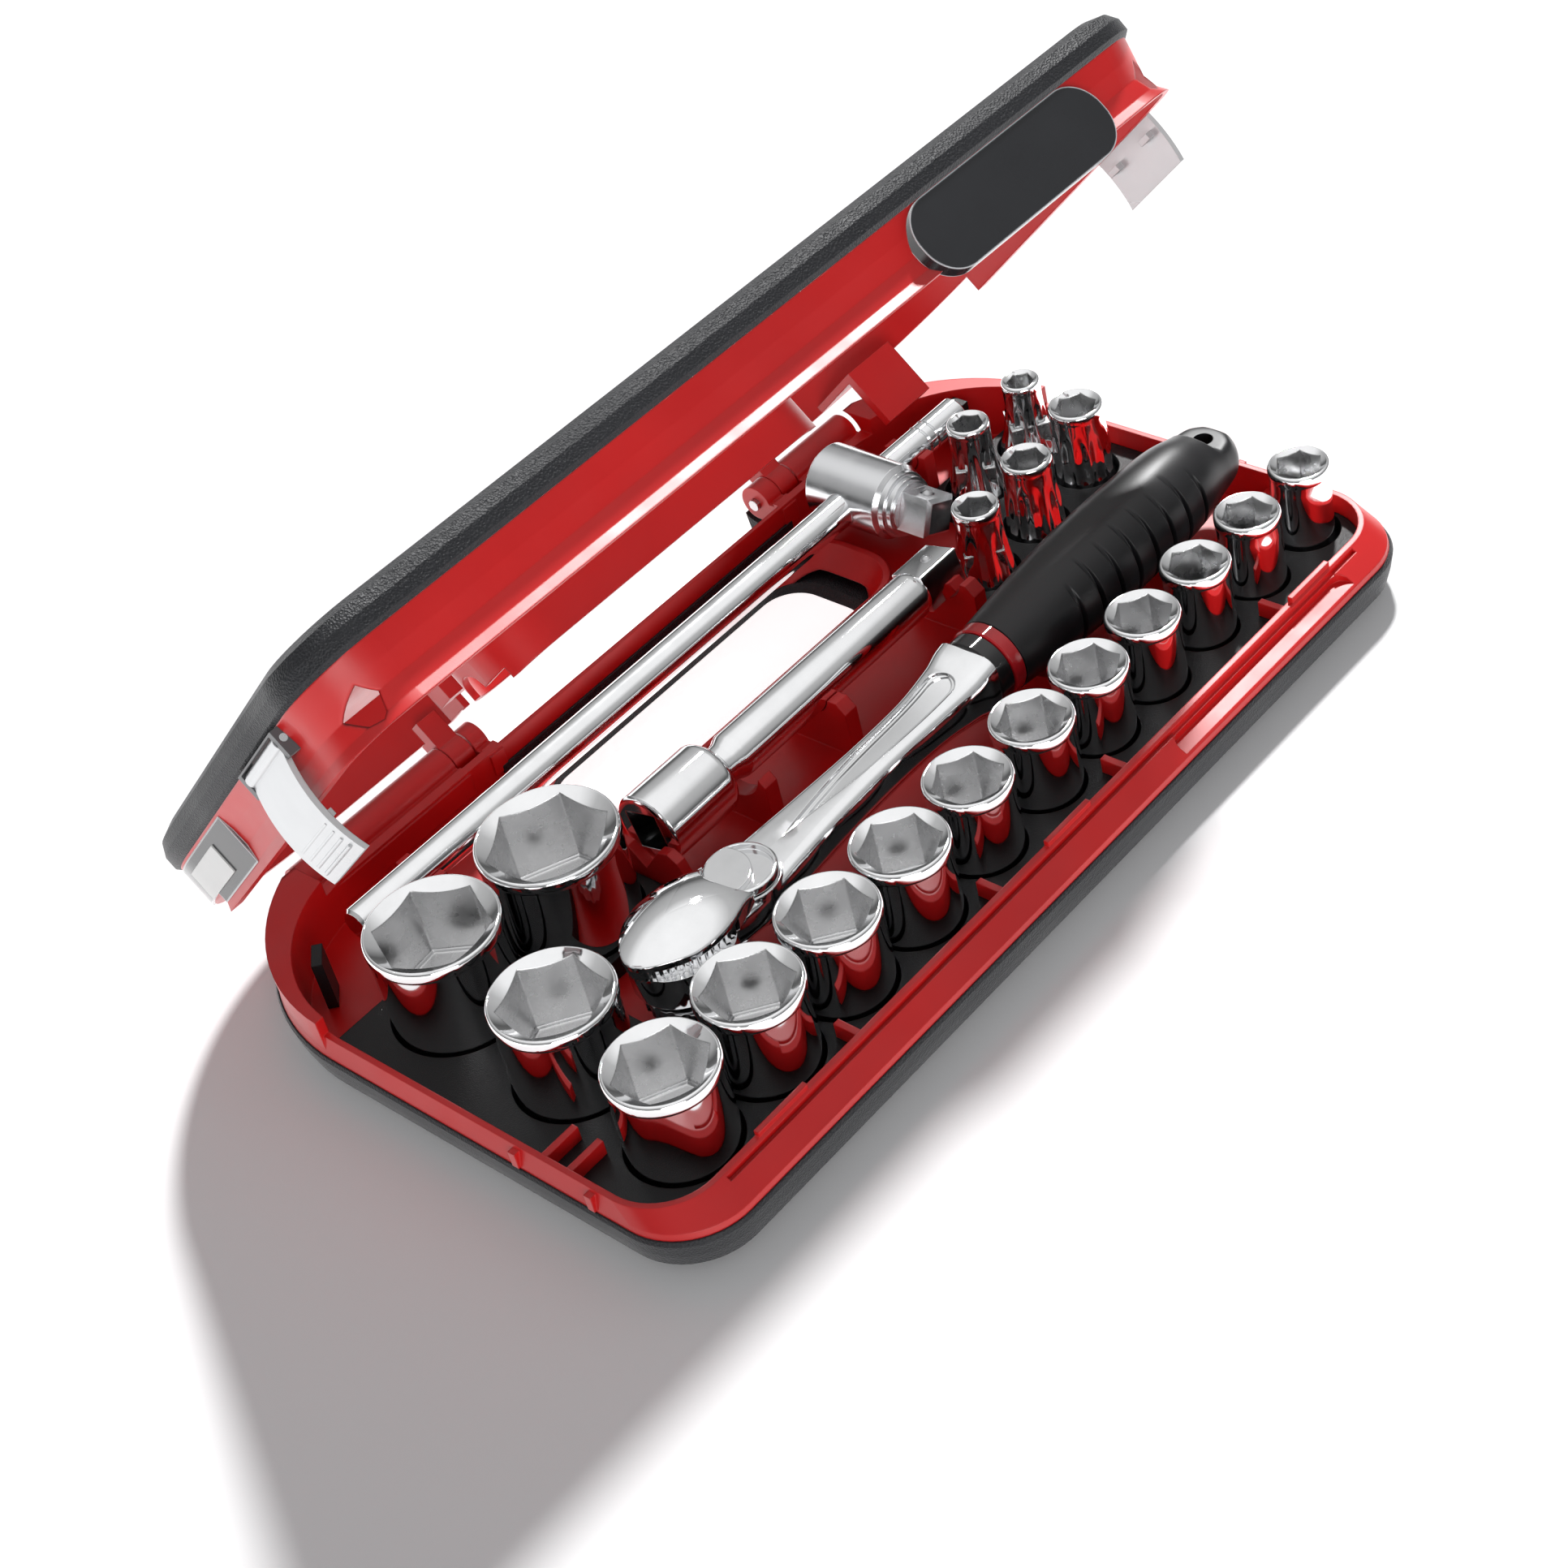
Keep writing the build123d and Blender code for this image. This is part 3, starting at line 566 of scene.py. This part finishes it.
def head():
    """Domed pear whose plan is cut by the lever's round seat; flutes under its rim."""
    seat_r = LVR + 0.4
    way = PEAR + [(px, -py) for px, py in reversed(PEAR[:-1])]
    outline = [(px, RAY + py) for px, py in smooth_line(way, 34)]
    outline = [p for p in outline if math.dist(p, (LVX, RAY)) > seat_r]
    ends = (outline[0], outline[-1])
    first, last = (math.atan2(p[1] - RAY, p[0] - LVX) % TAU for p in ends)
    arc = []
    for i in range(1, 40):
        t = last + (first - last) * i / 40
        arc.append((LVX + seat_r * math.cos(t), RAY + seat_r * math.sin(t)))
    around = outline + arc
    smooth_end = 50     # so many points next to the seat have no flutes

    def ring(scale, z, scallop=0.0):
        points = []
        for k, (px, py) in enumerate(around):
            s = scale
            if scallop and smooth_end < k < len(outline) - smooth_end:
                s -= scallop / 14.0 * (1 - (2 * (k / 11.0 % 1) - 1) ** 2)
            qx, qy = HEAD_X + (px - HEAD_X) * s, RAY + (py - RAY) * s
            points.append((qx, qy, z(qx, qy) if callable(z) else z))
        return points

    rings = [ring(0.80, 33.0), ring(0.955, 33.2, 0.9), ring(0.965, 34.0, 1.1), ring(0.975, 37.0, 1.1),
             ring(0.98, 37.4, 0.7), ring(0.985, 37.6), ring(0.998, 37.75),
             ring(1.0, lambda px, py: dome_z(px, py) - 0.55),
             ring(0.997, lambda px, py: dome_z(px, py) - 0.18)]
    rings += [ring(s, dome_z) for s in (0.985, 0.95, 0.9, 0.82, 0.72, 0.6, 0.46, 0.3, 0.15, 0.03)]
    return skin(rings)


BOAT0, BOAT1, BOWR = -52.0, 20.0, 5.4       # the arm's recess: its ends and its half-width
# stations along the arm: x, half-width, half-height, middle
ARM = [(-84.0, 10.5, 6.0, 29.0), (-68.0, 11.6, 6.0, 29.2), (-54.0, 10.6, 6.2, 29.4),
       (-35.0, 9.3, 6.4, 29.7), (-11.0, 8.4, 6.3, 29.9), (10.0, 8.7, 6.5, 30.0),
       (24.0, 10.2, 8.0, 30.0), (31.0, 11.1, 9.9, 30.0), (34.5, 11.3, 10.6, 30.0)]


def boat(x):
    """Half-width of the boat-shaped recess along the arm at x; round at the grip's end."""
    if x <= BOAT0 or x >= BOAT1 + BOWR:
        return 0.0
    if x > BOAT1:
        return math.sqrt(BOWR ** 2 - (x - BOAT1) ** 2)
    t = (x - BOAT0) / (BOAT1 - BOAT0)
    return BOWR * (0.72 * math.sin(math.pi / 2 * min(1.0, t * 1.6)) + 0.28 * t * t)


def at(line, x):
    """The other values of a line of points (x, ...) at x."""
    for p, q in zip(line, line[1:]):
        if p[0] <= x <= q[0]:
            t = (x - p[0]) / max(q[0] - p[0], 1e-9)
            return [a + (b - a) * t for a, b in zip(p[1:], q[1:])]


def arm_half(x, w, h, z):
    """Half section of the arm at x, from the middle of its top to the middle of its bottom."""
    round_r = min(h * 0.62, 5.2)
    flat = w - round_r
    b = boat(x)
    deep = min(1.0, b * 0.8)

    def crown(y):
        return z + h - 0.25 * (y / w) ** 2

    half = [(0.0, crown(0.0) - 1.75 * deep), (max(b - 1.9, 0.0), crown(b) - 1.7 * deep),
            (max(b - 1.5, 0.0), crown(b) - 1.05 * deep), (max(b - 0.45, 0.0), crown(b) - 1.0 * deep),
            (max(b - 0.08, 0.0), crown(b) - 0.12 * deep), (b, crown(b)),
            (b + (flat - b) * 0.5, crown(flat * 0.5))]
    quarter = [math.pi / 2 * i / 8 for i in range(9)]
    half += [(flat + round_r * math.sin(u), z + h - round_r + round_r * math.cos(u) - 0.15 * math.cos(u))
             for u in quarter]
    half += [(flat + round_r * math.cos(u), z - h + round_r - round_r * math.sin(u)) for u in quarter]
    return half + [(0.0, z - h)]


def arm():
    """The arm from under the head to the collar, with its recess."""
    line = smooth_line(ARM, 8)
    stations = {p[0] for p in line}
    stations |= {BOAT0 + 0.4 * i for i in range(6)}
    stations |= {BOAT1 + BOWR * math.sin(math.pi / 2 * i / 12) for i in range(13)}
    rings = []
    for x in sorted(stations):
        half = arm_half(x, *at(line, x))
        left = [(x, RAY + y, z) for y, z in half]
        rings.append(left + [(x, RAY - y, z) for y, z in half[-2:0:-1]])
    return skin(rings)


LEVER_SEAT = [(10.6, 23.6), (11.4, 24.2), (11.6, 25.0), (11.6, 34.6), (11.3, 35.15)]
DRUM_X = -97.5
DRUM = [(13.6, 22.0), (14.1, 22.2), (14.4, 22.8), (14.4, 33.4)]
rounds = [skin(disc(LEVER_SEAT, LVX, RAY)), skin(disc(DRUM, DRUM_X, RAY))]
handle = solid("ratchet_body", [head(), arm(), *rounds], [CHROME])
placed(handle, "ratchet", "polished_chrome", "ratchet_handle")

# reversing lever: a disc with a crescent pocket, cut by a circle beside the disc's middle
LEVER = [(LVR - 0.4, 35.45), (LVR, 35.8), (LVR, 37.5), (LVR - 0.2, 37.9), (LVR - 0.7, 38.2)]
POCKET_R, LOBE_R = LVR - 1.3, LVR - 0.6
LOBE_X, LOBE_Y = LVX - 5.2, RAY + 4.6
LOBE_WAY = math.radians(138.5)      # direction from the disc's middle to the circle's
POCKET_FLOOR = 36.2
ABOVE_ALL = 60.0


def by_angle(points, cx, cy):
    """Points in their order round (cx, cy), from LOBE_WAY on."""
    return sorted(points, key=lambda p: (math.atan2(p[1] - cy, p[0] - cx) - LOBE_WAY) % TAU)


lever = solid("reversing_disc", [skin(disc(LEVER, LVX, RAY))], [CHROME])
inner = [p for p in circle(LVX, RAY, POCKET_R) if math.dist(p, (LOBE_X, LOBE_Y)) > LOBE_R]
lobe = [p for p in circle(LOBE_X, LOBE_Y, LOBE_R) if math.dist(p, (LVX, RAY)) < POCKET_R]
pocket = by_angle(inner, LVX, RAY) + by_angle(lobe, LOBE_X, LOBE_Y)[::-1]
carve(lever, prism(pocket, POCKET_FLOOR, ABOVE_ALL))
placed(lever, "reversing_lever", "polished_chrome", "reversing_lever")

# drive: a hub and a toothed ring, which lie inside the CAD node of the drive
DRIVE_X, DRIVE_Y = -93.5, -37.0
HUB = [(11.4, 19.0), (12.0, 19.5), (12.0, 21.8)]
TEETH, TOOTH_HALF, TOOTH_POINTS = 24, 0.55, 384


def gear_ring(r, z, toothed):
    """A ring of the drive at radius r, with or without teeth."""
    points = []
    for k in range(TOOTH_POINTS):
        rho = r - TOOTH_HALF * (1 + math.cos(TEETH * TAU * k / TOOTH_POINTS)) * toothed
        t = TAU * k / TOOTH_POINTS
        points.append((DRIVE_X + rho * math.cos(t), DRIVE_Y + rho * math.sin(t), z))
    return points


gear = skin([gear_ring(13.0, 16.6, 0), gear_ring(14.2, 17.1, 1),
             gear_ring(14.2, 20.7, 1), gear_ring(13.0, 21.2, 0)])
drive = solid("drive_gear", [skin(disc(HUB, DRIVE_X, DRIVE_Y)), gear], [SATIN])
placed(drive, "ratchet_drive", "satin_chrome")

# collar and ring between the arm and the grip
COL0, RING0, GRIP0 = 34.5, 40.7, 45.5
SLEEVE_IN = 8.0
COLLAR_LINE = [(COL0, SLEEVE_IN), (COL0, 11.2), (COL0 + 0.5, 11.8), (RING0 - 0.5, 11.8), (RING0, 11.3),
               (RING0, SLEEVE_IN)]
RING_LINE = [(RING0, SLEEVE_IN), (RING0, 11.9), (RING0 + 0.4, 12.4), (GRIP0 - 0.4, 12.4), (GRIP0, 11.9),
             (GRIP0, SLEEVE_IN)]
collar = solid("collar_sleeve", [skin(lathe(COLLAR_LINE, RAY, GRZ))], [COLLAR])
placed(collar, "ratchet", "collar_black", "ratchet_collar")
red_ring = solid("ring_sleeve", [skin(lathe(RING_LINE, RAY, GRZ))], [RING])
placed(red_ring, "ratchet", "ring_red", "ratchet_ring")

# grip
GRIP1 = 161.5
GRIP_START_R = 11.4
SWELL = [(GRIP0, 12.5), (60.0, 13.8), (76.0, 15.1), (90.0, 15.8), (106.0, 15.9), (124.0, 15.5), (139.0, 14.5),
         (149.0, 12.4), (154.0, 11.6), (158.5, 10.6), (161.6, 8.4)]
GROOVE0, GROOVE_WIDTH, GROOVE_STEP, GROOVES = 71.0, 1.5, 9, 8
GROOVE_MID = GROOVE0 + GROOVE_WIDTH / 2
WIDE_GROOVES = (2, 3, 4, 5)
OFF = 2.02                          # the grooves are round about a line this far from the axis
OFF_WAY = math.atan2(1.1, 1.7)
EDGE_SOFT = 1.5
HOLE_X, HANG_R = 155.4, 3.2


def grip_radius(curve, x):
    """Radius of the grip's swell at x."""
    for (xa, ra), (xb, rb) in zip(curve, curve[1:]):
        if xa <= x <= xb:
            return ra + (rb - ra) * (x - xa) / max(xb - xa, 1e-6)
    return curve[-1][1]


def grip():
    """Swelling grip with grooves round it and a flattened end for the hanging hole."""
    n = 96
    curve = smooth_line(SWELL, 12)
    stations = {GRIP0 + 0.5 * i for i in range(int((GRIP1 - GRIP0) / 0.5) + 1)}
    for i in range(GROOVES):
        stations |= {GROOVE0 + GROOVE_STEP * i + d for d in (-0.3, 0.0, 0.2, 1.3, 1.5, 1.8)}
    rings = lathe([(GRIP0, GRIP_START_R)], RAY, GRZ, n)
    for x in sorted(stations):
        rad = grip_radius(curve, x)
        i = round((x - GROOVE_MID) / GROOVE_STEP)
        near = abs(x - GROOVE_MID - GROOVE_STEP * i) if 0 <= i < GROOVES else GROOVE_STEP
        cut = share((0.85 - near) / 0.25)
        bound = 15.6 if i in WIDE_GROOVES else 15.1
        flat = share((x - 147.0) / 6.0)
        limit = 16.0 - 8.5 * flat * flat * (3 - 2 * flat)
        ring = []
        for k in range(n):
            t = TAU * k / n
            reach = OFF * math.cos(t - OFF_WAY)
            edge = reach + math.sqrt(bound ** 2 - OFF ** 2 + reach ** 2)
            r = rad - cut * max(0.0, rad - edge)
            ry, rz = r * math.cos(t), r * math.sin(t)
            if abs(rz) > limit - EDGE_SOFT:
                over = abs(rz) - (limit - EDGE_SOFT)
                rz = math.copysign(limit - EDGE_SOFT + EDGE_SOFT * math.tanh(over / EDGE_SOFT), rz)
            ring.append((x, RAY + ry, GRZ + rz))
        rings.append(ring)
    end = rings[-1]
    for x, scale in ((162.6, 0.86), (163.4, 0.62), (163.7, 0.3)):
        rings.append([(x, RAY + (y - RAY) * scale, GRZ + (z - GRZ) * scale) for _, y, z in end])
    return skin(rings)


rubber_grip = solid("grip_sleeve", [grip()], [GRIP], sharp=50.0)
carve(rubber_grip, prism(circle(HOLE_X, RAY, HANG_R, 48), 0.0, ABOVE_ALL), sharp=45.0)
placed(rubber_grip, "ratchet", "grip_rubber", "ratchet_grip")


# ---------------------------------------------------------------- floor, light, camera
# from here on, sizes are in metres
FLOOR_HALF, FLOOR_GAP = 4.0, 0.00005
GLOW_X, GLOW_Y = 0.012, 0.070       # middle of the painted light: a glow on the ground under the hand opening
GLOW_FADE_X, GLOW_FADE_Y = (0.085, 0.095), (0.035, 0.055)      # it fades out between these distances
CEILING = ((0.0, 0.16), (0.16, 0.10), (0.34, 0.36), (0.62, 0.50), (0.80, 0.92), (1.0, 1.0))
# name, energy, angle in degrees, direction that it comes from
LAMPS = (("key", 3.5, 5.0, (0.81, 0.52, 1.0)), ("fill", 1.6, 40.0, (-0.55, -0.80, 0.12)))


def floor():
    """White ground with the shadow of the case, except where a painted glow under the hand opening wipes the
    shadow out.
    """
    mesh = bpy.data.meshes.new("floor")
    bm = bmesh.new()
    bmesh.ops.create_grid(bm, x_segments=2, y_segments=2, size=FLOOR_HALF)
    bm.to_mesh(mesh)
    bm.free()
    ob = bpy.data.objects.new("floor", mesh)
    bpy.context.scene.collection.objects.link(ob)
    ob.location.z = CAD_BOX[0][2] - FLOOR_GAP
    m = Mat("white floor")
    m.set("Base Color", (0.93, 0.93, 0.935, 1.0))
    m.set("Roughness", 0.6)
    m.set("Specular IOR Level", 0.2)
    glow = m.node("ShaderNodeEmission")
    path = m.node("ShaderNodeLightPath")
    # painted light: the ground glows under the hand opening and wipes out the case's shadow, so white shows
    # through the opening
    sep = m.node("ShaderNodeSeparateXYZ")
    m.join(m.coord(), sep.inputs[0])
    off_x = m.math("ABSOLUTE", m.math("SUBTRACT", sep.outputs[0], GLOW_X))
    off_y = m.math("ABSOLUTE", m.math("SUBTRACT", sep.outputs[1], GLOW_Y))
    side = m.span(off_x, *GLOW_FADE_X, 1.0, 0.0)
    deep = m.span(off_y, *GLOW_FADE_Y, 1.0, 0.0)
    # strength of the painted glow, strongest in the middle of the hand opening
    under = m.math("MULTIPLY", m.math("MULTIPLY", side, deep), 0.85)
    seen = m.math("MULTIPLY", path.outputs["Is Camera Ray"], m.math("MAXIMUM", under, 0.06))
    bent = m.math("MAXIMUM", path.outputs["Is Glossy Ray"], path.outputs["Is Transmission Ray"])
    mirrored = m.math("MULTIPLY", bent, 0.75)
    m.join(m.math("ADD", seen, mirrored), glow.inputs["Strength"])
    both = m.node("ShaderNodeAddShader")
    m.join(m.b.outputs[0], both.inputs[0])
    m.join(glow.outputs[0], both.inputs[1])
    m.join(both.outputs[0], m.out.inputs["Surface"])
    mesh.materials.append(m.m)


def world():
    """White for the camera, soft grey light, and a graded studio for metal."""
    w = bpy.data.worlds.new("studio")
    bpy.context.scene.world = w
    w.use_nodes = True
    t = w.node_tree
    bg = t.nodes["Background"]
    new = t.nodes.new
    link = t.links.new
    path = new("ShaderNodeLightPath")
    co = new("ShaderNodeTexCoord")
    sep = new("ShaderNodeSeparateXYZ")
    link(co.outputs["Generated"], sep.inputs[0])
    ramp = new("ShaderNodeValToRGB")
    el = ramp.color_ramp.elements
    # what metal sees: a dim band above the horizon, softer grey, then a bright ceiling
    for i, (p, c) in enumerate(CEILING):
        e = el[i] if i < 2 else el.new(p)
        e.position = p
        e.color = (c, c, c, 1)
    link(sep.outputs[2], ramp.inputs["Fac"])
    mix = new("ShaderNodeMix")
    mix.data_type = "RGBA"
    link(path.outputs["Is Glossy Ray"], mix.inputs[0])
    mix.inputs[6].default_value = (0.24, 0.24, 0.245, 1)
    link(ramp.outputs["Color"], mix.inputs[7])
    mix2 = new("ShaderNodeMix")
    mix2.data_type = "RGBA"
    link(path.outputs["Is Camera Ray"], mix2.inputs[0])
    link(mix.outputs[2], mix2.inputs[6])
    mix2.inputs[7].default_value = (1, 1, 1, 1)
    link(mix2.outputs[2], bg.inputs["Color"])
    bg.inputs["Strength"].default_value = 1.0


def lamps():
    """A key light from the back right and a weak fill from the front left."""
    for name, energy, angle, way in LAMPS:
        sun = bpy.data.lights.new(name, "SUN")
        sun.energy = energy
        sun.angle = math.radians(angle)
        ob = bpy.data.objects.new(name, sun)
        bpy.context.scene.collection.objects.link(ob)
        ob.rotation_euler = Vector(way).to_track_quat("Z", "Y").to_euler()


def camera():
    """The camera, from its place and its directions ahead and to the right."""
    cam = bpy.data.cameras.new("camera")
    cam.sensor_width = 36.0
    cam.lens = 67.3
    ob = bpy.data.objects.new("camera", cam)
    bpy.context.scene.collection.objects.link(ob)
    at = Vector((-0.4441, -0.5152, 0.5746))
    look = Vector((0.48916, 0.58985, -0.64250))
    side = Vector((0.64270, -0.74176, -0.19167))
    up = side.cross(look)
    rot = Matrix((side, up, -look)).transposed()
    ob.matrix_world = Matrix.Translation(at) @ rot.to_4x4()
    bpy.context.scene.camera = ob


floor()
world()
lamps()
camera()
bpy.context.scene.view_settings.view_transform = "Standard"
